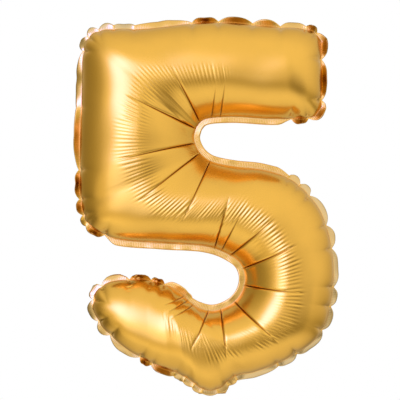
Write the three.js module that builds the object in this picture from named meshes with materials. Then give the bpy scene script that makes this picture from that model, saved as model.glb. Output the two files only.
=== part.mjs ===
// A foil number balloon in the shape of a 5.
//
// Two sheets of foil are welded together round the outline. The gas holds them apart, so each
// sheet becomes a domed shell with a flat welded margin. At the bottom the outline runs out into
// a neck. The neck carries on as a flat inflation tail, folded up behind the number, and a
// two-ply plastic valve sleeve runs from the tail's mouth through the neck into the balloon.
//
// Millimetres, +Z up. The front of the number faces -Y and reads the right way round with +X to
// the right. The origin is the lowest edge of the neck, in the plane of the weld.

import * as THREE from 'three';

// ---------- Driving dimensions ----------

const seamWidth = 235;            // across the number, from weld to weld
const seamHeight = 348;           // from the neck's lowest weld to the highest weld
const fullDepth = 66;             // front to back, on a stroke that is wide enough
const fullDepthStroke = 74;       // width of stroke that reaches the full depth
const armEndClosing = 36;         // length over which the square end of the top arm closes

const weldMargin = 6.5;           // flat foil outside the weld
const foilWall = 0.3;             // thickness of one foil sheet
const layerGap = 0.3;             // clearance between two layers that lie on each other

const tailWidth = 32;
const tailLength = 48;            // along the folded tail
const tailClearance = 2;          // from the back panel to the folded tail

const valveWidth = 22;
const valveFilm = 0.2;            // thickness of one valve film
const valveLipLength = 46;        // the part of the sleeve inside the balloon
const valveLipInset = 5;          // from the neck's lowest weld up to the lips' root
const valveMouthInset = 8;        // from the tail's open end in to the sleeve's mouth

const stepsPerStation = 3;        // smoothness along the stroke
const stepsAcross = 8;            // smoothness across the stroke
const tailSteps = 14;             // smoothness along the folded tail

const goldFoil = { color: 0xd9a441, roughness: 0.25, metalness: 1 };
const clearFilm = { color: 0xe4e6e2, roughness: 0.4, metalness: 0 };

// ---------- The outline ----------

// Someone walks along the middle of the stroke, from the end of the top arm to the end of the
// hook. Each row is one stop on the walk: the weld on the right hand (x, z), then the weld on
// the left hand (x, z). The rows give the drawing's proportions, and the seam sizes scale it.
const walk = [
  // end of the top arm
  [106, 334, 106, 273],
  [98, 344, 98, 263],
  [56, 349, 60, 261],
  [0, 353, 18, 263],
  // round the upper bay: the square shoulder, the stem and its foot
  [-57, 347, -6, 260],
  [-100, 340, -12, 254],
  [-115, 325, -14, 249],
  [-120, 288, -15, 244],
  [-121, 231, -14, 238],
  [-119, 184, -10, 230],
  [-113, 163, -4, 224],
  [-92, 149, 4, 220],
  // the middle stroke
  [-48, 143, 24, 216],
  [-5, 140, 50, 213],
  // the bowl, round the lower bay
  [14, 134, 77, 202],
  [29, 123, 101, 175],
  [33, 109, 113, 139],
  [29, 95, 114, 98],
  [18, 84, 101, 58],
  [2, 79, 72, 35],
  [-11, 82, 42, 22],
  // the neck
  [-18, 87, 31, 20],
  [-21, 90, 21, 13],
  [-24, 92, 13, 7],
  [-27, 95, 2, 5],
  [-30, 97, -9, 6],
  [-33, 99, -18, 13],
  [-37, 102, -27, 18],
  // the hook
  [-44, 105, -38, 22],
  [-60, 109, -56, 29],
  [-87, 108, -82, 45],
  [-103, 103, -103, 65],
  [-110, 94, -111, 81],
];
const neckStop = 24;

function drawnSize(rows) {
  const box = new THREE.Box2();
  for (const [rightX, rightZ, leftX, leftZ] of rows) {
    box.expandByPoint(new THREE.Vector2(rightX, rightZ));
    box.expandByPoint(new THREE.Vector2(leftX, leftZ));
  }
  return box.getSize(new THREE.Vector2());
}

// The drawing is scaled to the seam sizes, and moved so that the neck's margin ends at z = 0.
const drawn = drawnSize(walk);
const neckX = walk[neckStop][2];
const neckZ = walk[neckStop][3];

function placed(x, z) {
  return new THREE.Vector3(
    (x - neckX) * seamWidth / drawn.x,
    0,
    (z - neckZ) * seamHeight / drawn.y + weldMargin,
  );
}

const rightWeld = new THREE.CatmullRomCurve3(walk.map(([x, z]) => placed(x, z)));
const leftWeld = new THREE.CatmullRomCurve3(walk.map(([, , x, z]) => placed(x, z)));

// ---------- Solids from sheets ----------

// A closed solid between two grids of points, one for each side of a sheet.
function sheetSolid(outer, inner) {
  const rows = outer.length;
  const columns = outer[0].length;
  const points = [...outer.flat(), ...inner.flat()];
  const outerAt = (row, column) => row * columns + column;
  const innerAt = (row, column) => rows * columns + outerAt(row, column);
  const triangles = [];
  const quad = (a, b, c, d) => triangles.push(a, b, c, a, c, d);
  for (let row = 0; row < rows - 1; row += 1) {
    const next = row + 1;
    for (let column = 0; column < columns - 1; column += 1) {
      const beside = column + 1;
      quad(outerAt(row, column), outerAt(row, beside), outerAt(next, beside), outerAt(next, column));
      quad(innerAt(row, column), innerAt(next, column), innerAt(next, beside), innerAt(row, beside));
    }
    const last = columns - 1;
    quad(outerAt(row, 0), outerAt(next, 0), innerAt(next, 0), innerAt(row, 0));
    quad(outerAt(row, last), innerAt(row, last), innerAt(next, last), outerAt(next, last));
  }
  for (let column = 0; column < columns - 1; column += 1) {
    const beside = column + 1;
    const last = rows - 1;
    quad(outerAt(0, column), innerAt(0, column), innerAt(0, beside), outerAt(0, beside));
    quad(outerAt(last, column), outerAt(last, beside), innerAt(last, beside), innerAt(last, column));
  }
  if (signedVolume(points, triangles) < 0) {
    triangles.reverse();
  }
  const geometry = new THREE.BufferGeometry().setFromPoints(points);
  geometry.setIndex(triangles);
  geometry.computeVertexNormals();
  return geometry;
}

function signedVolume(points, triangles) {
  let volume = 0;
  for (let i = 0; i < triangles.length; i += 3) {
    const [a, b, c] = [points[triangles[i]], points[triangles[i + 1]], points[triangles[i + 2]]];
    volume += a.dot(new THREE.Vector3().crossVectors(b, c)) / 6;
  }
  return volume;
}

// ---------- The foil panels ----------

// The stroke at one place along the walk, from 0 to 1: the two welds, the way out from each, and
// how far the foil stands off the weld plane there.
function strokeAt(along, closing) {
  const right = rightWeld.getPoint(along);
  const left = leftWeld.getPoint(along);
  const across = new THREE.Vector3().subVectors(left, right);
  const rightOut = outward(rightWeld, along, across.clone().negate());
  const leftOut = outward(leftWeld, along, across);
  return {
    right,
    left,
    rightOut,
    leftOut,
    rightMargin: marginPoint(right, rightOut),
    leftMargin: marginPoint(left, leftOut),
    rise: closing * fullDepth / 2 * Math.min(1, across.length() / fullDepthStroke),
  };
}

// The direction square to a weld, in the weld plane, on the side that faces away.
function outward(weld, along, away) {
  const tangent = weld.getTangent(along);
  const normal = new THREE.Vector3(tangent.z, 0, -tangent.x);
  return normal.dot(away) < 0 ? normal.negate() : normal;
}

// Every cross-section of the balloon in order, with the flat margin past each end of the stroke.
function strokeSections() {
  const steps = (walk.length - 1) * stepsPerStation;
  const middles = [];
  const sections = [];
  let walked = 0;
  for (let step = 0; step <= steps; step += 1) {
    const along = step / steps;
    const middle = rightWeld.getPoint(along).add(leftWeld.getPoint(along)).multiplyScalar(0.5);
    walked += step === 0 ? 0 : middle.distanceTo(middles[step - 1]);
    middles.push(middle);
    const open = 1 - Math.min(1, walked / armEndClosing);
    sections.push(strokeAt(along, Math.sqrt(1 - open * open)));
  }
  sections[steps].rise = 0;
  return [
    marginPast(sections[0], middles[0], middles[1]),
    ...sections,
    marginPast(sections[steps], middles[steps], middles[steps - 1]),
  ];
}

// The outer edge of the margin past an end of the stroke. Its corners are rounded: they turn
// halfway from the end's own direction to the weld's.
function marginPast(section, end, before) {
  const past = new THREE.Vector3().subVectors(end, before).normalize();
  return {
    right: section.right.clone().addScaledVector(past, weldMargin),
    left: section.left.clone().addScaledVector(past, weldMargin),
    rightMargin: marginPoint(section.right, section.rightOut.clone().add(past)),
    leftMargin: marginPoint(section.left, section.leftOut.clone().add(past)),
    rise: 0,
  };
}

function marginPoint(weld, way) {
  return way.clone().setLength(weldMargin).add(weld);
}

// One side of a panel: the points of each section from margin to margin. The inner side is drawn
// in by the wall at the welds and lies one wall nearer the weld plane.
function panelSide(sections, side, wall) {
  const flat = layerGap / 2 + wall;
  return sections.map(({ right, left, rightMargin, leftMargin, rise }) => {
    const inset = foilWall - wall;
    const across = new THREE.Vector3().subVectors(left, right).normalize();
    const from = right.clone().addScaledVector(across, inset);
    const to = left.clone().addScaledVector(across, -inset);
    const points = [rightMargin.clone().setY(side * flat)];
    for (let step = 0; step <= stepsAcross; step += 1) {
      const angle = Math.PI * step / stepsAcross;
      const point = new THREE.Vector3().lerpVectors(from, to, (1 - Math.cos(angle)) / 2);
      points.push(point.setY(side * (flat + rise * Math.sin(angle))));
    }
    points.push(leftMargin.clone().setY(side * flat));
    return points;
  });
}

function panel(side) {
  const sections = strokeSections();
  return sheetSolid(panelSide(sections, side, foilWall), panelSide(sections, side, 0));
}

// ---------- The folded tail ----------

// The tail follows the belly of the bottom stroke behind the neck. Its path is the quarter of an
// ellipse round that belly, from the neck's lowest edge backwards and up.
const neckSection = strokeAt(neckStop / (walk.length - 1), 1);
const bellyTop = neckSection.right.z;
const bellyMiddle = (bellyTop + neckSection.left.z) / 2;
const bellyRise = layerGap / 2 + foilWall + neckSection.rise;
const tailPath = new THREE.EllipseCurve(
  0, bellyMiddle, bellyRise + tailClearance, bellyMiddle, -Math.PI / 2, Math.PI / 2,
);
const tailStart = layerGap / 2 + foilWall + layerGap;

// A strip of the tail, offset out from its path, between two lengths along it.
function tailStrip(width, offset, thickness, from, to) {
  const length = tailPath.getLength();
  const side = (depth) => {
    const rows = [];
    for (let step = 0; step <= tailSteps; step += 1) {
      const share = THREE.MathUtils.lerp(from, to, step / tailSteps) / length;
      const point = tailPath.getPointAt(share);
      const tangent = tailPath.getTangentAt(share);
      const y = point.x + tangent.y * depth;
      const z = point.y - tangent.x * depth;
      rows.push([new THREE.Vector3(-width / 2, y, z), new THREE.Vector3(width / 2, y, z)]);
    }
    return rows;
  };
  return sheetSolid(side(offset + thickness), side(offset));
}

const backMouthOffset = foilWall + layerGap;
const frontMouthOffset = backMouthOffset + valveFilm + layerGap;
const frontLeafOffset = frontMouthOffset + valveFilm + layerGap;
const mouthEnd = tailLength - valveMouthInset;

// ---------- The valve lips ----------

function valveLip(side) {
  const root = weldMargin + valveLipInset;
  const near = side * layerGap / 2;
  const far = side * (layerGap / 2 + valveFilm);
  const face = (y) => [0, 1].map((end) => [-1, 1].map((edge) => (
    new THREE.Vector3(edge * valveWidth / 2, y, root + end * valveLipLength)
  )));
  return sheetSolid(face(far), face(near));
}

// ---------- The balloon ----------

const balloon = new THREE.Group();

function add(name, geometry, finish) {
  const material = new THREE.MeshStandardMaterial(finish);
  const mesh = new THREE.Mesh(geometry, material);
  mesh.name = name;
  balloon.add(mesh);
}

add('front_panel', panel(-1), goldFoil);
add('back_panel', panel(1), goldFoil);
add('tail_back_leaf', tailStrip(tailWidth, 0, foilWall, tailStart, tailLength), goldFoil);
add('tail_front_leaf', tailStrip(tailWidth, frontLeafOffset, foilWall, tailStart, tailLength), goldFoil);
add('valve_back_mouth', tailStrip(valveWidth, backMouthOffset, valveFilm, tailStart, mouthEnd), clearFilm);
add('valve_front_mouth', tailStrip(valveWidth, frontMouthOffset, valveFilm, tailStart, mouthEnd), clearFilm);
add('valve_front_lip', valveLip(-1), clearFilm);
add('valve_back_lip', valveLip(1), clearFilm);

export default balloon;
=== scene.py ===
"""The looks of a foil number balloon: two welded foil panels, the folded tail and the valve.

Every piece is film. The panels are laid out on the stroke of the 5: a row of points for each
place along the stroke and a column for each place across it. The film is then given what
inflating does to it: gathers at the weld where the outline is convex, long folds and fine
ripples where a bay pulls it tight, and a wavy welded margin.
"""

import bpy
import numpy as np
from bpy.props import FloatProperty, FloatVectorProperty, PointerProperty
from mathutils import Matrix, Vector


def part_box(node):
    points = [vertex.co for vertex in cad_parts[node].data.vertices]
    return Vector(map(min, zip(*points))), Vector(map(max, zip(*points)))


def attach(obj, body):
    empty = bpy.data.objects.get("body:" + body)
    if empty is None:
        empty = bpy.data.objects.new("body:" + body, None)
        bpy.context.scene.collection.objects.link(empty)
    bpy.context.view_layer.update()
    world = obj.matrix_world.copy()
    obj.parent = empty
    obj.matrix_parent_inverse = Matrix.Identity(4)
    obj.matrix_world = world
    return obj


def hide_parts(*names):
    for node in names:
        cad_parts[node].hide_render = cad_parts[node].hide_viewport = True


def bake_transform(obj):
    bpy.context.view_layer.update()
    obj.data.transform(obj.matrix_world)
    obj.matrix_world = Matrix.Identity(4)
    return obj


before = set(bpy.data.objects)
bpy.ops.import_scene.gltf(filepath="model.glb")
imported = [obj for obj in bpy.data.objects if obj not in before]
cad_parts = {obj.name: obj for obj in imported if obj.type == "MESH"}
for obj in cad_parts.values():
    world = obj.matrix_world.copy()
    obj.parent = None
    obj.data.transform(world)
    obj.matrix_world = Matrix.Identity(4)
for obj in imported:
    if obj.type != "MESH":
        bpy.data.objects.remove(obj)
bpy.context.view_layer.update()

bl_info = {
    "name": "Foil number balloon",
    "version": (1, 0, 0),
    "blender": (4, 5, 0),
    "location": "View3D > Sidebar > Balloon",
    "description": "Makes the film pieces of an inflated foil number and a plain studio for it",
    "category": "Object",
}

MM = 0.001
PANEL_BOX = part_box("front_panel")

# ---------------------------------------------------------------- the stroke

# Stops on a walk along the stroke, from the end of the top arm to the end of the hook: the weld
# on the right hand (x, z) and the weld on the left hand (x, z), in drawing millimetres.
WALK = (
    (106, 334, 106, 273), (98, 344, 98, 263), (56, 349, 60, 261), (0, 353, 18, 263),
    # the square shoulder, the stem and its foot, round the upper bay
    (-57, 347, -6, 260), (-108, 344, -12, 254), (-118, 334, -14, 249), (-121, 288, -15, 244),
    (-123, 231, -14, 238), (-122, 184, -10, 230), (-116, 162, -4, 224), (-93, 148, 4, 220),
    # the middle stroke
    (-48, 143, 24, 216), (-5, 140, 50, 213),
    # the bowl, round the lower bay
    (14, 134, 78, 203), (29, 123, 103, 176), (33, 109, 115, 139), (29, 95, 116, 98),
    (18, 84, 104, 57), (2, 79, 74, 34), (-11, 82, 41, 20.5),
    # the neck
    (-18, 87, 28, 18), (-21, 90, 18.5, 13), (-24, 92, 11.5, 6.5), (-27, 95, 1, 3),
    (-30, 97, -9.5, 5.5), (-33, 99, -18, 12), (-37, 102, -27, 17.5),
    # the hook
    (-44, 105, -38, 22), (-60, 109, -56, 29), (-87, 108, -82, 45), (-103, 103, -103, 65),
    (-110, 94, -111, 81),
)
NECK = (2, 5)
DRAWN_SIZE = (235, 348)
LAST_STOP = len(WALK) - 1

# The left-hand weld as it would run past the neck: height at each stop. The film follows this
# line and only reaches down into the neck close to the weld.
PAST_THE_NECK = ((21, 18.5), (22, 16), (23, 14.5), (24, 13.5), (25, 14), (26, 15.5), (27, 18))

# How full the stroke is blown and the share across of its ridge, by stop.
FULLNESS = ((0, 1.0), (5.5, 1.0), (7.5, 1.07), (8.3, 1.05), (9.4, 0.95), (11, 0.96), (13, 1.0),
            (26.3, 1.0), (29.6, 0.80), (32, 0.9))
RIDGE = ((0, 0.5), (26.5, 0.5), (28.5, 0.55), (32, 0.55))

WELD_MARGIN = 6.5 * MM
FULL_HALF_DEPTH = 33 * MM
FULL_STROKE = 74 * MM
ARM_END_CLOSING = 36 * MM
CROWN = 2.05                     # how flat the stroke's section is on top, 2 for an ellipse's
EDGE_RISE = 0.52                 # how the section meets the weld, 0.5 for an ellipse's
HOOK = (27.5, 29)                # stops between which the hook leaves the bay behind
MIDDLE_STROKE = (11, 14)         # stops between which the inside of the bend changes hands
NECK_REACH = (0.58, 1.0)         # share across in which the film turns down into the neck
RIPPLED_STEP = 0.80 * MM         # between rows where the film is finely rippled
PLAIN_STEP = 1.35 * MM           # between rows elsewhere
RIPPLED_FROM = (2.4, 3.4)        # stops between which the rows draw closer
RIPPLED_TO = (26.5, 28.0)        # stops between which they spread again
CLOSER_AT_FOLDS = (0.66, 1.3 * MM)       # share by which rows draw closer, and how far round
CLOSER_AT_PINCHES = (0.45, 1.6 * MM)
FOLD_WIDTH = 0.55                # of a long fold where it starts, in millimetres
GORE_FULLNESS = 0.4              # of the film between two folds, in millimetres
FOLD_SHADE = 0.5                 # half width of the painted shade line in a fold, in millimetres
FOLD_SEARCH = 0.2                # how far past its ends a fold may bow, in stops
LONG_WAVES = 9                   # faint waves of slack film
WRINKLES = ((0.22, 0.10, 6.5, 0.035), (0.05, 0.03, 3.6, 0.09))   # middle, spread, pitch, height
BAND_EDGES = (4.0, 2.4)          # how sharply a ripple band ends, outside and inside the bend
TURNING_REACH = 75               # fine stops over which the bend is evened out
FINE_STOPS = 4001
COLUMNS = 73
EDGE_CROWDING = 0.72             # how far the columns crowd towards the welds
MARGIN_RINGS = 4
INNER_EVERY = 4                  # the hidden inner face keeps one column in so many
WALL_SHARE = 0.9                 # of the film gap, by which the inner face is set in
PINCH_PULL = 1.3 * MM            # how far a pinch of strength 1 draws the weld in
LONG_RUN = 75 * MM               # a margin that runs on for longer has no petals
# how pale a long margin is painted, a painted reflection
LONG_RUN_REFLECTION = 0.14
PAINTED_WELD_REFLECTION = 0.32                      # how far the film is painted pale along the weld: a painted reflection of the bright room

TAIL_CURL = (35.45 * MM, 50.9 * MM)      # half axes of the fold behind the belly
TAIL_CORNER = 7 * MM
TAIL_ROUNDING = 0.30             # of its width, at the open corners
TAIL_GATHERING = 0.30            # of its width, at the neck
TAIL_CREASES = 5
TAIL_ROOT = 3.2 * MM             # how far the root is raised behind the neck's margin
MOUTH_INSET = 8 * MM             # from the tail's open end to the valve's
LIP_PLEAT = 0.02 * MM

SILVER = (0.83, 0.83, 0.84)      # the bare side of the foil
PAINTED_SHADE_TINT = (0.28, 0.20, 0.06)   # painted shade: multiplies the gold at the bottom of folds and on petals that lean forward
WELD_RIB = 1.6 * MM              # from one rib of the weld to the next
CLOUD_RANGE = (0.3, 0.7)         # of the noise that makes the clouds

# Folds, by the hand whose weld they start from: start stop, end stop, the share of the stroke
# that a fold crosses and its depth in millimetres.
FOLDS = {
    "left": (
        (3.30, 2.95, 0.34, 0.7), (3.62, 3.20, 0.30, 0.5), (4.45, 4.05, 0.56, 1.7),
        (5.50, 6.65, 0.60, 1.9), (8.00, 8.35, 0.67, 1.8), (9.15, 10.35, 0.60, 1.8),
        (10.60, 12.05, 0.72, 1.6),
    ),
    "right": (
        (13.45, 12.60, 0.64, 1.6), (13.80, 13.30, 0.50, 0.8), (14.30, 14.40, 0.58, 1.7),
        (15.30, 15.50, 0.62, 1.7), (16.40, 17.00, 0.66, 1.7), (17.60, 18.70, 0.74, 1.8),
        (18.50, 21.30, 0.78, 1.7), (19.25, 25.20, 0.64, 1.6), (20.60, 27.30, 0.34, 0.9),
        (21.80, 27.75, 0.30, 0.8), (23.20, 28.10, 0.24, 0.6),
    ),
}

# Where the ripples run: stop, share across from the right hand, half length as a share, height.
RIPPLES = (
    (2.4, 0.58, 0.07, 0.0), (3.2, 0.56, 0.08, 0.4), (4.5, 0.54, 0.10, 0.8),
    (6.4, 0.55, 0.10, 1.0), (7.6, 0.44, 0.10, 1.0), (8.2, 0.43, 0.10, 1.0),
    (8.9, 0.51, 0.10, 1.0), (10.6, 0.53, 0.11, 1.05), (11.9, 0.41, 0.12, 1.1),
    (12.6, 0.45, 0.12, 1.1), (13.5, 0.46, 0.12, 1.1), (14.5, 0.42, 0.11, 1.05),
    (15.5, 0.45, 0.11, 1.0), (16.5, 0.50, 0.11, 1.0), (17.6, 0.55, 0.12, 1.05),
    (18.6, 0.57, 0.12, 1.1), (19.7, 0.60, 0.13, 1.3), (21.3, 0.61, 0.14, 1.5),
    (23.8, 0.54, 0.14, 1.6), (25.3, 0.50, 0.13, 1.3), (27.3, 0.40, 0.10, 0.4),
    (28.6, 0.38, 0.07, 0.0),
)

# Pinches of the margin on each edge, in order round the outline: the stop along it (or the share
# across an end) and the strength. Then the petal of margin that follows: its lean, forward if it
# is negative, and how pale it is painted, a painted reflection.
PINCHES = {
    "right": (
        (0.75, 0.8, -0.6, 0.1), (1.25, 0.6, 0.5, 0.3), (1.77, 0.9, -0.4, 0.1),
        (2.3, 0.8, -0.6, 0.0), (2.86, 0.9, -0.8, 0.0), (3.3, 0.9, 0.4, 0.2), (4.25, 0.5, 0.6, 0.8),
        (4.6, 0.5, 0.3, 0.8), (4.91, 0.9, 0.4, 0.7), (5.64, 0.9, 0.6, 0.6), (6.25, 1.1, 0.5, 0.3),
        (7.3, 0.3, -0.5, 0.0), (8.37, 0.9, -0.8, 0.0), (8.97, 0.8, -0.7, 0.0),
        (9.6, 0.9, 0.6, 0.0), (10.05, 0.6, -0.7, 0.0), (10.75, 1.1, -0.3, 0.1),
        (21.6, 0.3, -0.3, 0.1), (27.85, 1.1, -0.8, 0.0), (28.75, 1.2, -0.8, 0.0),
        (29.59, 1.5, 0.4, 0.4), (30.88, 1.3, 0.4, 0.5),
    ),
    "hook_end": ((0.35, 1.3, 0.5, 0.6),),
    "left": (
        (31.2, 1.0, 0.5, 0.5), (30.56, 1.2, 0.5, 0.5), (29.41, 1.1, -0.8, 0.0),
        (28.95, 0.8, -0.6, 0.2), (27.6, 0.5, 0.5, 0.5), (26.6, 0.3, 0.3, 0.4),
        (25.6, 0.4, 0.2, 0.4), (24.75, 0.3, 0.15, 0.5), (23.45, 0.3, 0.2, 0.4),
        (22.4, 0.4, 0.3, 0.3), (21.4, 0.4, 0.6, 0.7), (19.31, 0.6, 0.6, 0.8),
        (18.76, 0.9, 0.7, 0.8), (17.89, 1.0, 0.6, 0.7), (17.35, 0.9, 0.5, 0.7),
        (16.92, 0.9, 0.6, 0.7), (16.02, 1.0, 0.5, 0.6), (15.45, 1.0, 0.6, 0.7),
        (14.6, 1.0, 0.5, 0.7), (14.23, 0.8, 0.5, 0.5), (13.85, 0.6, -0.2, 0.0),
        (1.59, 1.0, -0.7, 0.0), (1.17, 1.0, -0.5, 0.0),
    ),
    "arm_end": ((0.9, 1.1, -0.8, 0.0), (0.27, 1.3, -0.6, 0.0)),
}

# The room's brightness by how high, how far back and how far right a direction points, each from
# -1 to 1, and its glows: direction, inner and outer angle in degrees, strength in each colour.
# The brightest glow is cool, so that it turns the gold cream.
ROOM_BY_HEIGHT = ((-1.0, 0.90), (-0.93, 1.04), (-0.82, 1.02), (-0.68, 0.84), (-0.55, 0.52),
                  (-0.42, 0.49), (-0.28, 0.76), (-0.12, 0.88), (0.05, 0.94), (0.3, 0.99),
                  (0.7, 0.99), (1.0, 0.98))
ROOM_BY_DEPTH = ((-1.0, 1.0), (-0.5, 1.0), (-0.19, 0.90), (0.17, 0.80), (0.6, 0.64),
                 (0.82, 0.62), (0.93, 0.88), (1.0, 1.0))
ROOM_BY_SIDE = ((-1.0, 0.40), (-0.9, 0.50), (-0.77, 0.66), (-0.6, 0.84), (-0.4, 0.96), (0.0, 1.0),
                (0.5, 0.98), (0.8, 1.05), (1.0, 1.15))
ROOM_GLOWS = (
    ((-0.36, -0.88, 0.24), 3, 20, (0.9, 1.05, 7.6)),
    ((-0.44, -0.84, 0.24), 6, 34, (0.30, 0.30, 0.4)),
    ((0.25, -0.96, -0.12), 3, 22, (-0.12, -0.13, -0.14)),
    ((-0.34, -0.92, -0.20), 3, 22, (0.5, 0.6, 1.5)),
    ((-0.62, -0.60, -0.50), 6, 30, (0.32, 0.31, 0.28)),
    ((0.55, -0.75, -0.38), 5, 28, (-0.22, -0.22, -0.2)),
)
WARM_DARK = (1.0, 0.93, 0.62)            # the room's colour where it is darkest


def curve_through(stops, along):
    """Points on a centripetal Catmull-Rom curve through the stops, at places counted in stops."""
    stops = np.asarray(stops, float)
    ends = np.vstack([2 * stops[0] - stops[1], stops, 2 * stops[-1] - stops[-2]])
    start = np.clip(np.floor(along).astype(int), 0, len(stops) - 2)
    share = (along - start)[:, None]
    before, here, there, after = (ends[start + k] for k in range(4))

    def span(a, b):
        return np.sqrt(np.maximum(np.linalg.norm(b - a, axis=1), 1e-6))[:, None]

    first, middle, last = span(before, here), span(here, there), span(there, after)
    leaving = (here - before) / first - (there - before) / (first + middle)
    leaving = (leaving + (there - here) / middle) * middle
    arriving = (there - here) / middle - (after - here) / (middle + last)
    arriving = (arriving + (after - there) / last) * middle
    square, cube = share ** 2, share ** 3
    return ((2 * cube - 3 * square + 1) * here + (cube - 2 * square + share) * leaving
            + (3 * square - 2 * cube) * there + (cube - square) * arriving)


def placed_welds():
    """Stops in metres, scaled to the CAD panel: of the right-hand weld, of the left-hand weld,
    and of the left-hand weld as it would run past the neck."""
    walk = np.array(WALK, float)
    right, left = walk[:, :2], walk[:, 2:]
    past_neck = left.copy()
    for stop, height in PAST_THE_NECK:
        past_neck[stop, 1] = height
    low, high = (np.array(corner) for corner in PANEL_BOX)
    scale = ((high - low)[[0, 2]] - 2 * WELD_MARGIN) / DRAWN_SIZE
    return [(line - NECK) * scale + (0, WELD_MARGIN) for line in (right, left, past_neck)]


def run_lengths(points):
    """How far along a line of points each point lies."""
    steps = np.linalg.norm(np.diff(points, axis=0), axis=1)
    return np.concatenate([[0.0], np.cumsum(steps)])


def smooth_noise(rng, along, length):
    """Smooth random values between -1 and 1 that change over the given length."""
    count = int(np.ceil(np.ptp(along) / length)) + 3
    values = rng.uniform(-1, 1, count)
    place = (along - along.min()) / length
    start = np.floor(place).astype(int)
    share = place - start
    share = share * share * (3 - 2 * share)
    return values[start] * (1 - share) + values[start + 1] * share


def ramp(value, low, high):
    """0 below low, 1 above high, and smooth between."""
    share = np.clip((value - low) / (high - low), 0, 1)
    return share * share * (3 - 2 * share)


def by_stop(rows, stops):
    """Every column of a table whose first column is the stop, read at the given stops."""
    table = np.array(rows, float).T
    return [np.interp(stops, table[0], column) for column in table[1:]]


def bell(value, width):
    """1 at zero, falling smoothly to nothing well past the width."""
    return np.exp(-(value / width) ** 2)


def fading(value, length):
    """1 at a sharp crest at zero, falling to nothing well past the length."""
    return np.exp(-np.abs(value) / length)


def smoothed(values, reach):
    """Each value averaged with as many before and after it as the reach says."""
    count = 2 * reach + 1
    return np.convolve(np.pad(values, reach, mode="edge"), np.ones(count) / count, "valid")


def smooth_between(rows, stops):
    """Values that pass smoothly through a table of stops and values."""
    table = np.array(rows, float)
    share = np.interp(stops, table[:, 0], np.arange(len(table)))
    start = np.minimum(share.astype(int), len(table) - 2)
    part = ramp(share - start, 0, 1)
    return table[start, 1] * (1 - part) + table[start + 1, 1] * part


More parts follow.
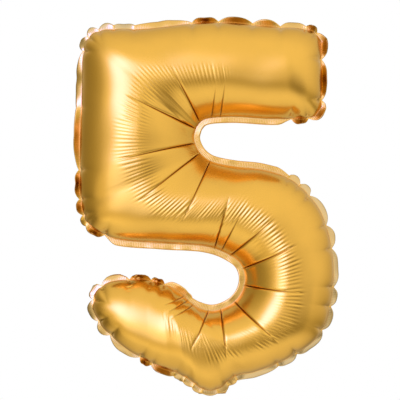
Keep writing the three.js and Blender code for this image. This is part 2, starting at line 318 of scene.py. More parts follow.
class Stroke:
    """The film laid out on the stroke of the 5: rows along it and columns across it.

    Rows follow the folds, so that each fold lies along one row. A place on the film is its stop
    on the walk and its share of the way across from the right-hand weld. What is named fine is
    known at closely spaced stops, and at_stops reads it at every point of the film.
    """

    def __init__(self, shift):
        right_stops, left_stops, past_stops = placed_welds()
        self.fine = np.linspace(0, LAST_STOP, FINE_STOPS)
        right, left = (curve_through(stops, self.fine) for stops in (right_stops, past_stops))
        self.fine_right, self.fine_left = right, left
        self.fine_walked = run_lengths((right + left) / 2)
        right_pace, left_pace = (np.gradient(run_lengths(weld)) for weld in (right, left))
        turning = (right_pace - left_pace) / (right_pace + left_pace)
        self.fine_turning = smoothed(turning, TURNING_REACH)
        turn = np.linspace(0, np.pi, COLUMNS)
        self.across = EDGE_CROWDING * (1 - np.cos(turn)) / 2 + (1 - EDGE_CROWDING) * turn / np.pi
        self.folds = [(hand, start + shift, end + shift, reach, depth)
                      for hand, folds in FOLDS.items() for start, end, reach, depth in folds]
        self.fold_lines = [self.fold_line(fold) for fold in self.folds]
        self.stops = self.laid_rows()
        on_right, on_left, past_neck = (
            curve_through(weld, self.stops.ravel()).reshape(*self.stops.shape, 2)
            for weld in (right_stops, left_stops, past_stops))
        share = self.across[:, None]
        self.flat = on_right * (1 - share) + past_neck * share
        self.flat += (on_left - past_neck) * ramp(share, *NECK_REACH)
        self.width = self.at_stops(np.linalg.norm(left - right, axis=1))
        self.walked = self.at_stops(self.fine_walked)
        self.turning = self.at_stops(self.fine_turning)
        right_way, left_way = (np.gradient(weld, self.fine[1], axis=0) for weld in (right, left))
        way = [self.at_stops(right_way[:, k]) * (1 - self.across)
               + self.at_stops(left_way[:, k]) * self.across for k in (0, 1)]
        self.pace = np.hypot(*way)

    def at_stops(self, fine_values):
        return np.interp(self.stops, self.fine, fine_values)

    def on_weld(self, hand, stops):
        """Points on the weld of one hand."""
        weld = self.fine_right if hand == "right" else self.fine_left
        return np.stack([np.interp(stops, self.fine, weld[:, k]) for k in (0, 1)], axis=-1)

    def fold_line(self, fold):
        """The stops of a straight fold across the columns; past its end it keeps its last stop."""
        hand, start, end, reach, _ = fold
        share, tip = (self.across, reach) if hand == "right" else (1 - self.across, 1 - reach)
        first = self.on_weld(hand, start)
        run = self.on_weld("right", end) * (1 - tip) + self.on_weld("left", end) * tip - first
        low, high = sorted((start, end))
        stops = np.linspace(low - FOLD_SEARCH, high + FOLD_SEARCH, 1201)
        right, left = self.on_weld("right", stops), self.on_weld("left", stops)
        line = np.full(COLUMNS, float(end))
        for column in np.flatnonzero(share < reach):
            across = self.across[column]
            offset = right * (1 - across) + left * across - first
            aside = offset[:, 0] * run[1] - offset[:, 1] * run[0]
            line[column] = stops[np.abs(aside).argmin()]
        return np.where(share < reach, smoothed(line, 2), line)

    def laid_rows(self):
        """The stop of every point, with closer rows at the folds and at the pinches."""
        ends = np.zeros(COLUMNS), np.full(COLUMNS, LAST_STOP)
        lines = np.stack([ends[0], *self.fold_lines, ends[1]], axis=1)
        marks = lines[COLUMNS // 2]
        busy = ramp(self.fine, *RIPPLED_FROM) * (1 - ramp(self.fine, *RIPPLED_TO))
        step = PLAIN_STEP + (RIPPLED_STEP - PLAIN_STEP) * busy
        closer = [(mark, *CLOSER_AT_FOLDS) for mark in marks[1:-1]]
        for edge, line in (("right", lines[0]), ("left", lines[-1])):
            closer += [(np.interp(place, line, marks), *CLOSER_AT_PINCHES)
                       for place, *_ in PINCHES[edge]]
        factor = np.ones_like(step)
        for mark, share, reach in closer:
            off = self.fine_walked - np.interp(mark, self.fine, self.fine_walked)
            factor = np.minimum(factor, 1 - share * bell(off, reach))
        steps = np.diff(self.fine_walked) / (step * factor)[1:]
        needed = np.concatenate([[0.0], np.cumsum(steps)])
        wanted = np.linspace(0, needed[-1], int(round(needed[-1])) + 1)
        labels = np.interp(wanted, needed, self.fine)
        for mark in marks[1:-1]:
            labels[np.abs(labels - mark).argmin()] = mark
        return np.stack([np.interp(labels, marks, line) for line in lines], axis=1)

    def rise(self):
        """How far the film stands off the weld plane, before any fold."""
        closing = 1 - np.clip(self.walked / ARM_END_CLOSING, 0, 1)
        wide = self.width / FULL_STROKE
        height = FULL_HALF_DEPTH * wide / (1 + wide ** 8) ** (1 / 8)
        height = height * self.at_stops(smooth_between(FULLNESS, self.fine))
        height = height * np.sqrt(1 - closing ** 2)
        height[-1] = 0
        ridge = self.at_stops(smooth_between(RIDGE, self.fine)) + 0.02 * self.turning
        share = self.across[None, :]
        on_right = share < ridge
        away = np.where(on_right, (ridge - share) / ridge, (share - ridge) / (1 - ridge))
        inner = np.where(on_right, -self.turning, self.turning)
        crown = CROWN - 0.35 * np.clip(inner, 0, 1)
        past_middle = ramp(self.stops, *MIDDLE_STROKE)
        before_hook = 1 - ramp(self.stops, *HOOK)
        beside_bay = np.where(on_right, past_middle * before_hook, 1 - past_middle)
        edge = EDGE_RISE + 0.12 * beside_bay + 0.2 * np.clip(1.6 * inner, 0, 1)
        return height * np.maximum(0, 1 - np.clip(away, 0, 1) ** crown) ** edge


# ---------------------------------------------------------------- what inflating does

def fold_depth(stroke, scale):
    """The long folds that start at the inside of each bend, with the gores between them, and
    how much painted shade each point gets in the bottom of a fold."""
    depth = np.zeros(stroke.stops.shape)
    shade = np.zeros(stroke.stops.shape)
    for hand in ("left", "right"):
        share = (stroke.across if hand == "right" else 1 - stroke.across)[None, :]
        found = [(fold, line[None, :]) for fold, line in zip(stroke.folds, stroke.fold_lines)
                 if fold[0] == hand]
        for (*_, reach, millimetres), line in found:
            off = np.abs(stroke.stops - line) * stroke.pace / MM
            strength = np.clip(1 - (share / reach) ** 2.5, 0, 1) * ramp(share, -0.02, 0.04)
            depth -= scale * millimetres * strength * fading(off, FOLD_WIDTH * (1 + share))
            # painted shade: a dark line along the bottom of each fold, where the fold would lie in
            # shade
            shade = np.maximum(shade, scale * strength * bell(off, FOLD_SHADE))
        for (_, before), (_, after) in zip(found, found[1:]):
            place = np.clip((stroke.stops - before) / (after - before), 0, 1)
            fullness = np.clip(share / 0.14, 0, 1) * np.clip(1 - share / 0.6, 0, 1)
            depth += scale * GORE_FULLNESS * fullness * np.sin(np.pi * place) ** 2
    return depth, shade


def ripple_depth(stroke, rng, pitch, height):
    """The fine ripples in a band across the folds, where the film is squeezed along the stroke."""
    centre, reach, strength = by_stop(RIPPLES, stroke.fine)
    line = stroke.fine_right * (1 - centre[:, None]) + stroke.fine_left * centre[:, None]
    along = run_lengths(line)
    phase = 2 * np.pi * along / pitch + 2.2 * smooth_noise(rng, along, 11 * MM)
    strength = strength * (0.8 + 0.3 * smooth_noise(rng, along, 4 * MM))
    centre = centre + 0.012 * smooth_noise(rng, along, 3 * MM)
    reach = reach * (1 + 0.18 * smooth_noise(rng, along, 2.6 * MM))
    slanting = 1.2 * smooth_noise(rng, along, 30 * MM)
    away = (stroke.across[None, :] - stroke.at_stops(centre)) / stroke.at_stops(reach)
    turn = stroke.at_stops(phase) + away * stroke.at_stops(slanting)
    inward = away * np.tanh(12 * stroke.turning)
    band = np.exp(-np.abs(inward) ** np.where(inward < 0, *BAND_EDGES))
    wave = np.sin(turn) + 0.25 * np.cos(2 * turn)
    return height / MM * band * wave * stroke.at_stops(strength)


def slack_depth(stroke, rng):
    """Faint long waves, and short wrinkles near the inside of a bend."""
    total = np.zeros(stroke.stops.shape)
    for _ in range(LONG_WAVES):
        heading = rng.uniform(0, np.pi)
        wave = rng.uniform(35, 80) * MM
        place = stroke.flat @ np.array([np.cos(heading), np.sin(heading)])
        total += 0.07 * np.sin(2 * np.pi * place / wave + rng.uniform(0, 2 * np.pi))
    bend = np.clip(np.abs(stroke.turning) * 1.6, 0, 1)
    inward = np.where(stroke.turning > 0, 1 - stroke.across, stroke.across)
    along = stroke.fine_walked
    for middle, spread, pitch, height in WRINKLES:
        phase = 2 * np.pi * along / (pitch * MM) + 3 * smooth_noise(rng, along, 9 * MM)
        patch = np.clip(0.3 + smooth_noise(rng, along, 14 * MM), 0, 1)
        wave = stroke.at_stops(patch * np.sin(phase))
        total += height * bend * wave * bell(inward - middle, spread)
    return total


class Margin:
    """The weld line right round the outline, with its pinches and the petals between them."""

    def __init__(self, stroke):
        rows, columns = stroke.stops.shape
        self.loop = np.array(
            [(row, 0) for row in range(rows)]
            + [(rows - 1, column) for column in range(1, columns)]
            + [(row, columns - 1) for row in range(rows - 2, -1, -1)]
            + [(0, column) for column in range(columns - 2, 0, -1)]
        )
        self.line = stroke.flat[self.loop[:, 0], self.loop[:, 1]]
        around = run_lengths(np.vstack([self.line, self.line[:1]]))
        self.along, self.round = around[:-1], around[-1]
        self.out = outward(self.line)
        found = sorted((self.along[self.nearest(stroke, edge, place)], strength, lean, pale)
                       for edge, pinches in PINCHES.items()
                       for place, strength, lean, pale in pinches)
        self.places, self.strengths, self.leans, self.pales = np.array(found).T
        self.shape_petals()

    def nearest(self, stroke, edge, place):
        """The number of the weld point nearest to a place on one edge."""
        rows, columns = stroke.stops.shape
        if edge in ("right", "left"):
            column = 0 if edge == "right" else columns - 1
            row = int(np.abs(stroke.stops[:, column] - place).argmin())
        else:
            row = 0 if edge == "arm_end" else rows - 1
            column = int(np.abs(stroke.across - place).argmin())
        return int(np.flatnonzero((self.loop == (row, column)).all(axis=1))[0])

    def shape_petals(self):
        """How far the margin reaches and leans round the outline, how pale it is painted as a
        painted reflection, and how dark as a painted shade.
        """
        count = len(self.places)
        after = np.searchsorted(self.places, self.along, side="right") % count
        before = (after - 1) % count
        gap = (self.places[after] - self.places[before]) % self.round
        share = ((self.along - self.places[before]) % self.round) / gap
        near = np.minimum(share, 1 - share) * gap
        nearest = np.where(share < 0.5, self.strengths[before], self.strengths[after])
        long_run = gap > LONG_RUN
        arch = np.sin(np.pi * np.clip(share, 0, 1)) ** 1.05
        arch = np.where(long_run, ramp(near, 0, 14 * MM), arch)
        reach = 1.04 - np.clip(nearest, 0, 1) * (1 - arch) * 0.84
        beside_neck = bell(np.linalg.norm(self.line, axis=1), 17 * MM)
        self.reach = np.where(long_run, 0.85 * reach, reach) * (1 - 0.25 * beside_neck)
        rng = np.random.default_rng(41)
        lean = self.leans[before] * np.where(long_run, 0.3, 1.0)
        self.lean = (lean + 0.10 * smooth_noise(rng, self.along, 9 * MM)) * arch
        # painted reflection: each petal is painted paler by its own share, a long margin by a
        # little
        pale = np.where(long_run, LONG_RUN_REFLECTION, 0.85 * self.pales[before])
        self.pale = pale * ramp(near, 0, 2 * MM)
        # painted shade: petals that lean forward are painted dark
        self.dark = 0.85 * ramp(-lean, 0.25, 0.6) * arch

    def pinches(self, flat):
        """For each pinch its strength and the way in, and how far in and aside each point is."""
        for place, strength in zip(self.places, self.strengths):
            at = int(np.abs(self.along - place).argmin())
            way_in = -self.out[at]
            offset = flat - self.line[at]
            aside = offset @ np.array([-way_in[1], way_in[0]])
            yield strength, way_in, offset @ way_in, np.abs(aside)


def outward(line):
    """The way out from a closed outline at each point, turned smoothly round the corners."""
    ahead = np.roll(line, -1, axis=0) - np.roll(line, 1, axis=0)
    normal = np.stack([ahead[:, 1], -ahead[:, 0]], axis=1)
    smooth = sum(np.roll(normal, k, axis=0) for k in range(-6, 7))
    smooth /= np.linalg.norm(smooth, axis=1)[:, None]
    onward = np.roll(line, -1, axis=0)
    area = np.sum(line[:, 0] * onward[:, 1] - onward[:, 0] * line[:, 1])
    return smooth if area > 0 else -smooth


def drawn_in(margin, flat):
    """Places in the weld plane after each pinch has drawn the weld and the film inwards."""
    moved = flat.copy()
    for strength, way_in, inward, aside in margin.pinches(flat):
        amount = strength * PINCH_PULL * fading(aside, 2.8 * MM) * fading(inward, 8 * MM)
        moved += amount[..., None] * way_in
    return moved


def pucker_depth(margin, flat):
    """Short folds that run into the film from each pinch, and the dip round them."""
    depth = np.zeros(flat.shape[:2])
    for strength, _, inward, aside in margin.pinches(flat):
        run = (3.0 + 3.6 * strength ** 2) * MM
        width = 0.75 * MM + 0.12 * np.clip(inward, 0, 1)
        fold = fading(aside, width) * bell(inward, run)
        dip = bell(aside, 5 * MM) * bell(inward, 9 * MM)
        depth -= min(strength, 1.0) * (1.3 * fold + 0.7 * dip)
    return depth


def surface_normals(points, side):
    along = np.gradient(points, axis=0)
    across = np.gradient(points, axis=1)
    normal = np.cross(along, across)
    normal /= np.maximum(np.linalg.norm(normal, axis=2), 1e-12)[:, :, None]
    facing = np.sign(np.median(normal[:, COLUMNS // 2, 1])) * side
    return normal * facing


def upright(flat, y):
    """Points in the frame from places in the weld plane and their distance from it."""
    y = np.broadcast_to(y, flat.shape[:-1])
    return np.stack([flat[..., 0], y, flat[..., 1]], axis=-1)


def panel_points(side, sizes, seed, shift):
    """The outer film of one panel, its margin in rings from the weld outwards, how much painted
    shade each point gets at the bottom of a fold, and how much painted reflection it gets beside
    the weld."""
    stroke, rng = Stroke(shift), np.random.default_rng(seed)
    margin = Margin(stroke)
    points = upright(drawn_in(margin, stroke.flat), side * (stroke.rise() + sizes.gauge))
    normals = surface_normals(points, side)
    depth, shade = fold_depth(stroke, sizes.fold_scale)
    depth += ripple_depth(stroke, rng, sizes.ripple_pitch, sizes.ripple_height)
    depth += slack_depth(stroke, rng)
    depth += sizes.gather_scale * pucker_depth(margin, stroke.flat)
    from_edge = np.minimum(stroke.across, 1 - stroke.across)[None, :] * stroke.width
    from_end = np.minimum(stroke.walked, stroke.fine_walked[-1] - stroke.walked)
    held = ramp(np.minimum(from_edge, from_end), 0, 2.0 * MM)
    points = points + normals * (depth * held * MM)[:, :, None]
    points[..., 1] = side * np.maximum(side * points[..., 1], sizes.gauge)
    rows, columns = margin.loop.T
    points[rows, columns, 1] = side * sizes.gauge
    weld = points[rows, columns][:, [0, 2]]
    out, lean = outward(weld), margin.lean * sizes.petal_scale
    foreshortened = np.sqrt(1 - np.clip(lean ** 2, 0, 0.75))
    rings = []
    for share in np.arange(1, MARGIN_RINGS + 1) / MARGIN_RINGS:
        reach = WELD_MARGIN * margin.reach * share
        y = reach * lean * (0.6 + 0.4 * share)
        ring = weld + out * (reach * foreshortened)[:, None]
        rings.append(upright(ring, y + side * sizes.gauge))
    # the last value is a painted reflection: the film beside the weld is painted paler, as the
    # bright room would mirror in it
    return points, rings, margin, shade, PAINTED_WELD_REFLECTION * bell(from_edge, 1.2 * MM)


# ---------------------------------------------------------------- meshes

def panel_mesh(name, side, sizes, seed, shift):
    """A closed skin: the film outside, the margin, and a thinner-set copy of both inside."""
    points, rings, margin, shade, weld_reflection = panel_points(side, sizes, seed, shift)
    rows, columns = points.shape[:2]
    film, film_ids = points.reshape(-1, 3), np.arange(rows * columns).reshape(rows, columns)
    weld_ids = film_ids[margin.loop[:, 0], margin.loop[:, 1]]
    wall = WALL_SHARE * sizes.gauge
    for ring in (rings[-1], rings[MARGIN_RINGS // 2 - 1], film[weld_ids]):
        rings.append(ring - (0, side * wall, 0))
    kept = np.r_[np.arange(0, columns - 1, INNER_EVERY), columns - 1]
    inner = (points - surface_normals(points, side) * 2 * wall)[1:-1, kept[1:-1]]
    around = np.arange(len(weld_ids))
    ring_ids = [weld_ids] + [film.shape[0] + len(around) * number + around
                             for number in range(len(rings))]
    vertices = np.vstack([film, *rings, inner.reshape(-1, 3)])
    quads = [grid_quads(film_ids)]
    quads += [ring_quads(near, far) for near, far in zip(ring_ids, ring_ids[1:])]

    # inside the film: its own coarser grid, sewn to the last ring
    sewn = np.full((rows, columns), -1)
    sewn[margin.loop[:, 0], margin.loop[:, 1]] = ring_ids[-1]
    inner_grid = sewn[:, kept]
    inner_grid[1:-1, 1:-1] = np.arange(ring_ids[-1][-1] + 1, len(vertices)).reshape(
        inner.shape[:2])
    quads.append(grid_quads(inner_grid[1:-1])[:, ::-1])
    faces = np.vstack(quads).tolist()
    for row, beside, turn in ((0, 1, 1), (rows - 1, rows - 2, -1)):
        for k, (near, far) in enumerate(zip(kept, kept[1:])):
            face = [*sewn[row, near:far + 1], inner_grid[beside, k + 1], inner_grid[beside, k]]
            faces.append([int(corner) for corner in face[::turn]])
    obj = film_object(name, vertices, faces)
    orient(obj)
    mark_weld(obj, weld_ids)

    outer_ids, margin_ids = ring_ids[:MARGIN_RINGS + 1], ring_ids[1:-1]
    ring_share = [number / MARGIN_RINGS for number in range(MARGIN_RINGS + 1)]
    for attribute, on_film, ids, on_rings in (
            ("margin_share", 0, outer_ids, ring_share),
            ("margin_run", 0, outer_ids, [margin.along] * len(outer_ids)),
            # painted reflection: paler beside the weld and on the petals; painted shade: darker in
            # folds and on petals that lean forward
            ("painted_reflection", weld_reflection.ravel(), margin_ids, [margin.pale] * len(margin_ids)),
            ("folded", shade.ravel(), margin_ids, [margin.dark] * len(margin_ids))):
        values = np.zeros(len(vertices))
        values[:len(film)] = on_film
        for ring, on_ring in zip(ids, on_rings):
            values[ring] = on_ring
        add_attribute(obj, attribute, values)
    return obj


def grid_quads(ids):
    corners = ids[:-1, :-1], ids[:-1, 1:], ids[1:, 1:], ids[1:, :-1]
    return np.stack(corners, axis=-1).reshape(-1, 4)


def ring_quads(near, far):
    return np.stack([near, np.roll(near, -1), np.roll(far, -1), far], axis=-1)


def film_object(name, vertices, faces):
    mesh = bpy.data.meshes.new(name)
    mesh.from_pydata(vertices.tolist(), [], faces)
    mesh.validate()
    obj = bpy.data.objects.new(name, mesh)
    bpy.context.scene.collection.objects.link(obj)
    mesh.polygons.foreach_set("use_smooth", np.ones(len(mesh.polygons), bool))
    return obj


def orient(obj):
    """Turns every face outwards."""
    for other in bpy.context.selected_objects:
        other.select_set(False)
    obj.select_set(True)
    bpy.context.view_layer.objects.active = obj
    bpy.ops.object.mode_set(mode="EDIT")
    bpy.ops.mesh.select_all(action="SELECT")
    bpy.ops.mesh.normals_make_consistent(inside=False)
    bpy.ops.object.mode_set(mode="OBJECT")


def mark_weld(obj, weld_ids):
    """The weld is a sharp line between the domed film and its margin."""
    mesh = obj.data
    is_weld = np.zeros(len(mesh.vertices), bool)
    is_weld[weld_ids] = True
    ends = np.empty(len(mesh.edges) * 2, int)
    mesh.edges.foreach_get("vertices", ends)
    sharp = is_weld[ends.reshape(-1, 2)].all(axis=1)
    attribute = mesh.attributes.new("sharp_edge", "BOOLEAN", "EDGE")
    attribute.data.foreach_set("value", sharp)


def add_attribute(obj, name, values):
    attribute = obj.data.attributes.new(name, "FLOAT", "POINT")
    attribute.data.foreach_set("value", values.astype(np.float32))


# ---------------------------------------------------------------- sizes and colours

class FilmSizes(bpy.types.PropertyGroup):
    gauge: FloatProperty(
        name="Film gap", description="From the weld plane to the film's outer face",
        default=0.18 * MM, unit="LENGTH")
    fold_scale: FloatProperty(
        name="Folds", description="Depth of the long folds, 1 for a fully blown balloon",
        default=1.0)
    ripple_pitch: FloatProperty(
        name="Ripple pitch", description="From one fine ripple to the next",
        default=3.3 * MM, unit="LENGTH")
    ripple_height: FloatProperty(
        name="Ripple height", description="Half the height of a fine ripple",
        default=0.25 * MM, unit="LENGTH")
    gather_scale: FloatProperty(
        name="Gathers", description="Depth of the gathers at the weld", default=1.0)
    petal_scale: FloatProperty(
        name="Petals", description="How far the margin's petals lean", default=1.0)


class TailSizes(bpy.types.PropertyGroup):
    width: FloatProperty(
        name="Width", description="Width of the tail", default=32 * MM, unit="LENGTH")
    length: FloatProperty(
        name="Length", description="Length of the tail along its fold", default=48 * MM,
        unit="LENGTH")
    valve_width: FloatProperty(
        name="Valve width", description="Width of the valve's films", default=22 * MM,
        unit="LENGTH")
    foil_gauge: FloatProperty(
        name="Foil", description="Thickness shown for the tail's foil", default=0.16 * MM,
        unit="LENGTH")
    valve_gauge: FloatProperty(
        name="Film", description="Thickness shown for the valve's film", default=0.1 * MM,
        unit="LENGTH")


class FinishSettings(bpy.types.PropertyGroup):
    gold: FloatVectorProperty(
        name="Gold", description="Colour of the lacquered foil", subtype="COLOR",
        default=(0.93, 0.515, 0.084), min=0, max=1)
    # the colour of the painted reflection on the margin and beside the weld
    pale: FloatVectorProperty(
        name="Paled gold", description="Colour of the margin where its lacquer has paled",
        subtype="COLOR", default=(0.74, 0.61, 0.38), min=0, max=1)
    milky: FloatVectorProperty(
        name="Valve film", description="Colour of the valve's film", subtype="COLOR",
        default=(0.78, 0.80, 0.77), min=0, max=1)


class StudioSettings(bpy.types.PropertyGroup):
    view_width: FloatProperty(
        name="View width", description="Width of the picture at the balloon",
        default=0.38, unit="LENGTH")
    lens: FloatProperty(
        name="Lens", description="Focal length of the camera, in millimetres", default=135.0)
    key_power: FloatProperty(name="Key light", description="Power in watts", default=34.0)


# ---------------------------------------------------------------- finishes

def fill_inputs(tree, node, inputs):
    """Gives inputs of a node a value each, or links them to another node's output."""
    for name, value in inputs.items():
        if isinstance(value, bpy.types.NodeSocket):
            tree.links.new(value, node.inputs[name])
        else:
            node.inputs[name].default_value = value


def add_node(tree, kind, inputs=None, **settings):
    """A new node, with its settings and its inputs."""
    node = tree.nodes.new(kind)
    for name, value in settings.items():
        setattr(node, name, value)
    fill_inputs(tree, node, inputs or {})
    return node


def maths(tree, operation, *values):
    inputs = dict(enumerate(values))
    return add_node(tree, "ShaderNodeMath", inputs, operation=operation).outputs[0]


def vectors(tree, operation, first, second, output="Vector"):
    inputs = {0: first, 1: second}
    return add_node(tree, "ShaderNodeVectorMath", inputs, operation=operation).outputs[output]


def carried(tree, value, old, new=(0, 1), **settings):
    """A value carried over from one range to another."""
    inputs = {"Value": value, "From Min": old[0], "From Max": old[1],
              "To Min": new[0], "To Max": new[1]}
    return add_node(tree, "ShaderNodeMapRange", inputs, **settings).outputs["Result"]


def mixed(tree, share, first, second, blend="MIX"):
    """A mix of two colours, each an output or a red, green and blue."""
    first, second = (colour if isinstance(colour, bpy.types.NodeSocket) else (*colour, 1)
                     for colour in (first, second))
    inputs = {"Factor": share, "A": first, "B": second}
    mix = add_node(tree, "ShaderNodeMix", inputs, data_type="RGBA", blend_type=blend)
    return mix.outputs["Result"]


def bumped(tree, height, strength, distance):
    inputs = {"Height": height, "Strength": strength, "Distance": distance}
    return add_node(tree, "ShaderNodeBump", inputs).outputs["Normal"]


def new_material(name):
    material = bpy.data.materials.new(name)
    material.use_nodes = True
    tree = material.node_tree
    tree.nodes.clear()
    shader = add_node(tree, "ShaderNodeBsdfPrincipled")
    add_node(tree, "ShaderNodeOutputMaterial", {"Surface": shader.outputs["BSDF"]})
    return material, tree, shader


def handling_group():
    """Faint cloudy marks and a fine grain, as film has after it has been folded and handled."""
    group = bpy.data.node_groups.get("Handled film")
    if group:
        return group
    group = bpy.data.node_groups.new("Handled film", "ShaderNodeTree")
    for name, way in (("Cloud size", "INPUT"), ("Grain size", "INPUT"),
                      ("Clouds", "OUTPUT"), ("Grain", "OUTPUT")):
        group.interface.new_socket(name, in_out=way, socket_type="NodeSocketFloat")
    inlet, outlet = add_node(group, "NodeGroupInput"), add_node(group, "NodeGroupOutput")
    place = add_node(group, "ShaderNodeTexCoord").outputs["Object"]
    for mark, size, detail in (("Clouds", "Cloud size", 4), ("Grain", "Grain size", 2)):
        inputs = {"Detail": detail, "Vector": place, "Scale": inlet.outputs[size]}
        noise = add_node(group, "ShaderNodeTexNoise", inputs)
        fill_inputs(group, outlet, {mark: noise.outputs["Fac"]})
    return group


def handling_marks(tree, cloud, grain):
    """The clouds and the grain of handled film, at the given scales."""
    node = add_node(tree, "ShaderNodeGroup", node_tree=handling_group())
    fill_inputs(tree, node, {"Cloud size": cloud, "Grain size": grain})
    return node.outputs["Clouds"], node.outputs["Grain"]


def gold_foil(finish):
    """Metallised film under gold lacquer: satin, with a ribbed weld in its margin."""
    if "gold foil" in bpy.data.materials:
        return bpy.data.materials["gold foil"]
    material, tree, shader = new_material("gold foil")
    clouds, grain = handling_marks(tree, 26.0, 900.0)

    def read(name):
        return add_node(tree, "ShaderNodeAttribute", attribute_name=name).outputs["Fac"]

    clouded = [channel * 0.93 for channel in finish.gold]
    colour = mixed(tree, carried(tree, clouds, CLOUD_RANGE), finish.gold, clouded)
    # painted reflection: paler beside the weld and on the petals; painted shade: darker in folds
    # and on petals that lean forward
    colour = mixed(tree, read("painted_reflection"), colour, finish.pale)
    colour = mixed(tree, read("folded"), colour, PAINTED_SHADE_TINT, "MULTIPLY")
    colour = mixed(tree, read("inside"), colour, SILVER)
    ribs = maths(tree, "MULTIPLY", read("margin_run"), 2 * np.pi / WELD_RIB)
    welded = carried(tree, read("margin_share"), (0.02, 0.15))
    ribs = maths(tree, "MULTIPLY", maths(tree, "SINE", ribs), welded)
    height = maths(tree, "MULTIPLY_ADD", grain, 0.35, ribs)
    fill_inputs(tree, shader, {
        "Base Color": colour, "Metallic": 1.0,
        "Roughness": carried(tree, clouds, CLOUD_RANGE, (0.2, 0.27)),
        "Coat Weight": 0.05, "Coat Roughness": 0.2,
        "Normal": bumped(tree, height, 0.35, 0.05 * MM),
    })
    return material


def valve_plastic(finish):
    """Thin milky film with a soft shine and faint clouds."""
    material, tree, shader = new_material("valve film")
    clouds, grain = handling_marks(tree, 60.0, 700.0)
    clouded = [channel * 0.86 for channel in finish.milky]
    share = carried(tree, clouds, CLOUD_RANGE)
    fill_inputs(tree, shader, {
        "Base Color": mixed(tree, share, finish.milky, clouded),
        "Roughness": carried(tree, clouds, CLOUD_RANGE, (0.22, 0.36)),
        "Alpha": carried(tree, clouds, CLOUD_RANGE, (0.5, 0.64)),
        "Normal": bumped(tree, grain, 0.25, 0.03 * MM),
    })
    return material


# ---------------------------------------------------------------- pieces

class BALLOON_OT_panels(bpy.types.Operator):
    """Makes the front and back foil panels with their welded margins"""
    bl_idname = "balloon.panels"
    bl_label = "Foil panels"

    def execute(self, context):
        sizes, finish = context.scene.balloon_film, context.scene.balloon_finish
        foil = gold_foil(finish)
        for name, side, seed, shift in (("front_panel", -1, 5, 0.0), ("back_panel", 1, 17, 0.12)):
            panel = panel_mesh(name + "_film", side, sizes, seed, shift)
            panel.data.materials.append(foil)
            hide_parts(name)
            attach(panel, "balloon")
        return {"FINISHED"}


def tail_place(along, beyond):
    """A point on the folded tail's path, so far along it and so far beyond it, as (y, z)."""
    turn = np.linspace(0, np.pi / 2, 2000)
    across, up = TAIL_CURL
    path = np.stack([across * np.sin(turn), up * (1 - np.cos(turn))], axis=1)
    walked = run_lengths(path)
    way = np.gradient(path, walked, axis=0)
    place = np.stack([np.interp(along, walked, path[:, k]) for k in (0, 1)], axis=-1)
    tangent = np.stack([np.interp(along, walked, way[:, k]) for k in (0, 1)], axis=-1)
    away = np.stack([tangent[..., 1], -tangent[..., 0]], axis=-1)
    return place + away * beyond[..., None]


def closed_film(name, outer, inner):
    """Two grids of points joined all round into one thin closed film."""
    rows, columns = outer.shape[:2]
    first = np.arange(rows * columns).reshape(rows, columns)
    second = first + rows * columns
    rim = np.r_[first[0, :-1], first[:-1, -1], first[-1, :0:-1], first[:0:-1, 0]]
    quads = [grid_quads(first), grid_quads(second)[:, ::-1],
             ring_quads(rim, rim + rows * columns)[:, ::-1]]
    vertices = np.vstack([outer.reshape(-1, 3), inner.reshape(-1, 3)])
    obj = film_object(name, vertices, [quad.tolist() for quad in np.vstack(quads)])
    orient(obj)
    return obj


def tail_film(name, width, length, beyond, swell, gauge, seed):
    """A film of the folded tail: gathered at the neck, wavy, and round at its open corners."""
    rng = np.random.default_rng(seed)
    along, across = np.meshgrid(np.linspace(0.4 * MM, length, 81), np.linspace(-1, 1, 41),
                                indexing="ij")
    near_end = np.clip((length - along) / TAIL_CORNER, 0, 1)
    rounding = 1 - TAIL_ROUNDING * (1 - np.sqrt(1 - (1 - near_end) ** 2))
    flare = 1 - TAIL_GATHERING * bell(along, 13 * MM)
    edge = 1 + 0.012 * smooth_noise(rng, along[:, 0], 6 * MM)[:, None] * np.sign(across)
    x = across * width / 2 * rounding * flare * edge
    out = swell * (1 - np.abs(across) ** 2.4) * ramp(along, 0, 12 * MM)
    places, slants = rng.uniform(4, 44, TAIL_CREASES) * MM, rng.uniform(-0.5, 0.5, TAIL_CREASES)
    creases = sum(0.10 * MM * fading(along - place - slant * x, 0.9 * MM)
                  for place, slant in zip(places, slants))
    waves = 0.16 * MM * np.sin(along / (7 * MM) + 2.1 * across + seed)
    gathers = 0.22 * MM * np.sin(across * 19) * fading(along, 4 * MM)
    settled = beyond * ramp(along, 0, 14 * MM) - TAIL_ROOT * (1 - ramp(along, 0, 9 * MM))
    depth = settled + out + (waves - creases) * ramp(along, 2 * MM, 9 * MM) + gathers
    films = []
    for away in (depth + gauge / 2, depth - gauge / 2):
        place = tail_place(along, away)
        films.append(np.stack([x, place[..., 0], place[..., 1]], axis=-1))
    obj = closed_film(name, *films)
    sealed = ramp(np.abs(across), 0.84, 0.86).ravel()
    add_attribute(obj, "margin_share", np.tile(sealed, 2))
    add_attribute(obj, "margin_run", np.tile(along.ravel(), 2))
    return obj


class BALLOON_OT_tail(bpy.types.Operator):
    """Makes the two foil leaves of the inflation tail, folded up behind the neck"""
    bl_idname = "balloon.tail"
    bl_label = "Inflation tail"

    def execute(self, context):
        tail, finish = context.scene.balloon_tail, context.scene.balloon_finish
        foil = gold_foil(finish)
        leaves = (("tail_back_leaf", 0.55 * MM, -0.45 * MM, 21, 0),
                  ("tail_front_leaf", 1.2 * MM, 0.5 * MM, 34, 1))
        for name, beyond, swell, seed, silver_side in leaves:
            leaf = tail_film(name + "_film", tail.width, tail.length, beyond, swell,
                             tail.foil_gauge, seed)
            inside = np.zeros((2, len(leaf.data.vertices) // 2))
            inside[silver_side] = 1
            add_attribute(leaf, "inside", inside.ravel())
            leaf.data.materials.append(foil)
            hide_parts(name)
            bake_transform(leaf)
        return {"FINISHED"}


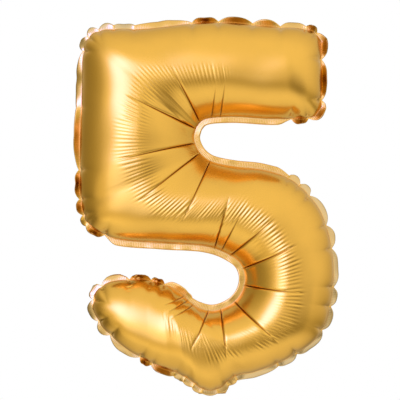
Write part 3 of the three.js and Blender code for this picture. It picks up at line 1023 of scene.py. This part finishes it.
class BALLOON_OT_valve(bpy.types.Operator):
    """Makes the two plastic films of the self-sealing valve: a mouth in the tail, lips inside"""
    bl_idname = "balloon.valve"
    bl_label = "Valve films"

    def execute(self, context):
        tail, finish = context.scene.balloon_tail, context.scene.balloon_finish
        film = valve_plastic(finish)
        length = tail.length - MOUTH_INSET
        for name, beyond, seed in (("valve_back_mouth", 0.75 * MM, 51),
                                   ("valve_front_mouth", 1.05 * MM, 52)):
            mouth = tail_film(name + "_film", tail.valve_width, length, beyond, 0.0,
                              tail.valve_gauge, seed)
            finish_valve_film(mouth, name, film, "tail")
        for name, side in (("valve_front_lip", -1), ("valve_back_lip", 1)):
            low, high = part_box(name)
            lip = lip_film(name + "_film", low, high, side, tail.valve_gauge)
            finish_valve_film(lip, name, film, name.replace("_lip", ""))
        return {"FINISHED"}


def lip_film(name, low, high, side, gauge):
    """One lip of the valve: narrower towards its soft end, and faintly creased along."""
    along, across = np.meshgrid(np.linspace(0, 1, 61), np.linspace(-1, 1, 33), indexing="ij")
    x = across * (high[0] - low[0]) / 2 * (1 - 0.08 * along ** 2)
    z = low[2] + along * (high[2] - low[2])
    near = min(abs(low[1]), abs(high[1]))
    pleat = LIP_PLEAT * (1 + np.sin(9 * across + 3 * along))
    y = near + pleat + LIP_PLEAT
    outer = np.stack([x, side * (y + gauge), z], axis=-1)
    inner = np.stack([x, side * y, z], axis=-1)
    return closed_film(name, outer, inner)


def finish_valve_film(piece, node, material, body):
    piece.data.materials.append(material)
    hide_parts(node)
    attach(piece, body)


class BALLOON_OT_studio(bpy.types.Operator):
    """Makes the floor, the backdrop, the lights and the camera"""
    bl_idname = "balloon.studio"
    bl_label = "Studio"

    def execute(self, context):
        studio = context.scene.balloon_studio
        low, high = (np.array(corner) for corner in PANEL_BOX)
        centre = Vector(((low[0] + high[0]) / 2 - 0.0064, 0, (low[2] + high[2]) / 2 + 0.0052))
        make_camera(centre, studio)
        make_stage()
        make_lights(centre, studio)
        make_world()
        return {"FINISHED"}


def make_camera(centre, studio):
    data = bpy.data.cameras.new("camera")
    data.lens = studio.lens
    camera = bpy.data.objects.new("camera", data)
    distance = studio.view_width * studio.lens / data.sensor_width
    camera.location = centre + Vector((0, -distance, 0))
    camera.rotation_euler = (np.pi / 2, 0, 0)
    bpy.context.scene.collection.objects.link(camera)
    bpy.context.scene.camera = camera


def plain_material(name, colour):
    material, tree, shader = new_material(name)
    fill_inputs(tree, shader, {"Base Color": (*colour, 1), "Roughness": 0.6})
    return material


def make_stage():
    bpy.ops.mesh.primitive_circle_add(vertices=160, radius=1.7, fill_type="NGON",
                                      location=(0, 0, -0.32))
    floor = bpy.context.object
    floor.name = "floor"
    floor.data.materials.append(plain_material("pale floor", (0.88, 0.88, 0.88)))
    floor.visible_glossy = False


def make_lights(centre, studio):
    def area(name, offset, size, power):
        data = bpy.data.lights.new(name, "AREA")
        data.shape = "RECTANGLE"
        data.size, data.size_y = size
        data.energy = power
        light = bpy.data.objects.new(name, data)
        light.location = centre + Vector(offset)
        light.rotation_euler = (-Vector(offset)).to_track_quat("-Z", "Y").to_euler()
        light.visible_glossy = False
        bpy.context.scene.collection.objects.link(light)

    area("key softbox", (-0.9, -1.3, 0.6), (0.9, 1.0), studio.key_power)
    area("top softbox", (0.1, -0.5, 1.4), (1.4, 1.0), 0.6 * studio.key_power)


def shade_along(tree, place, shades):
    """A brightness that changes smoothly with a place between -1 and 1."""
    share = maths(tree, "MULTIPLY_ADD", place, 0.5, 0.5)
    shading = add_node(tree, "ShaderNodeValToRGB", {"Fac": share})
    shading.color_ramp.interpolation = "B_SPLINE"
    elements = shading.color_ramp.elements
    elements.remove(elements[0])
    for number, (position, shade) in enumerate(shades):
        stop = (position + 1) / 2
        element = elements[0] if number == 0 else elements.new(stop)
        element.position = stop
        element.color = (shade, shade, shade, 1)
    return shading.outputs["Color"]


def glow(tree, looking, in_film, towards, inner, outer, strengths):
    """A round glow that only the film mirrors."""
    towards = tuple(Vector(towards).normalized())
    facing = vectors(tree, "DOT_PRODUCT", looking, towards, "Value")
    edges = [np.cos(np.radians(angle)) for angle in (outer, inner)]
    spread = carried(tree, facing, edges, interpolation_type="SMOOTHSTEP")
    return vectors(tree, "MULTIPLY", maths(tree, "MULTIPLY", spread, in_film), strengths)


def make_world():
    """The room the foil mirrors: bright and even, with a dark band below eye level, a darker back
    and left side, and a soft glow high on the left. The camera itself sees plain white."""
    world = bpy.data.worlds.new("studio room")
    bpy.context.scene.world = world
    world.use_nodes = True
    tree = world.node_tree
    tree.nodes.clear()
    looking = add_node(tree, "ShaderNodeTexCoord").outputs["Generated"]
    axes = add_node(tree, "ShaderNodeSeparateXYZ", {0: looking}).outputs
    path = add_node(tree, "ShaderNodeLightPath").outputs
    level = shade_along(tree, axes["Z"], ROOM_BY_HEIGHT)
    level = maths(tree, "MULTIPLY", level, shade_along(tree, axes["Y"], ROOM_BY_DEPTH))
    level = maths(tree, "MULTIPLY", level, shade_along(tree, axes["X"], ROOM_BY_SIDE))
    tone = mixed(tree, carried(tree, level, (0.3, 0.85)), WARM_DARK, (1, 1, 1))
    light = vectors(tree, "MULTIPLY", tone, level)
    for row in ROOM_GLOWS:
        light = vectors(tree, "ADD", light, glow(tree, looking, path["Is Glossy Ray"], *row))
    room = add_node(tree, "ShaderNodeBackground", {"Color": light})
    seen = add_node(tree, "ShaderNodeBackground", {"Color": (1, 1, 1, 1)})
    shaders = {"Fac": path["Is Camera Ray"], 1: room.outputs[0], 2: seen.outputs[0]}
    mix = add_node(tree, "ShaderNodeMixShader", shaders)
    add_node(tree, "ShaderNodeOutputWorld", {"Surface": mix.outputs[0]})


class BALLOON_PT_panel(bpy.types.Panel):
    """Lists the balloon's makers"""
    bl_idname = "BALLOON_PT_panel"
    bl_label = "Foil number balloon"
    bl_space_type = "VIEW_3D"
    bl_region_type = "UI"
    bl_category = "Balloon"

    def draw(self, context):
        for maker in MAKERS:
            self.layout.operator(maker.bl_idname)


MAKERS = (BALLOON_OT_panels, BALLOON_OT_tail, BALLOON_OT_valve, BALLOON_OT_studio)
CLASSES = (FilmSizes, TailSizes, FinishSettings, StudioSettings, *MAKERS, BALLOON_PT_panel)


def register():
    for item in CLASSES:
        bpy.utils.register_class(item)
    bpy.types.Scene.balloon_film = PointerProperty(type=FilmSizes)
    bpy.types.Scene.balloon_tail = PointerProperty(type=TailSizes)
    bpy.types.Scene.balloon_finish = PointerProperty(type=FinishSettings)
    bpy.types.Scene.balloon_studio = PointerProperty(type=StudioSettings)


def unregister():
    for name in ("balloon_film", "balloon_tail", "balloon_finish", "balloon_studio"):
        delattr(bpy.types.Scene, name)
    for item in reversed(CLASSES):
        bpy.utils.unregister_class(item)


def main():
    register()
    bpy.ops.balloon.panels()
    bpy.ops.balloon.tail()
    bpy.ops.balloon.valve()
    bpy.ops.balloon.studio()
    bpy.context.scene.view_settings.view_transform = "Standard"


if __name__ == "__main__":
    main()
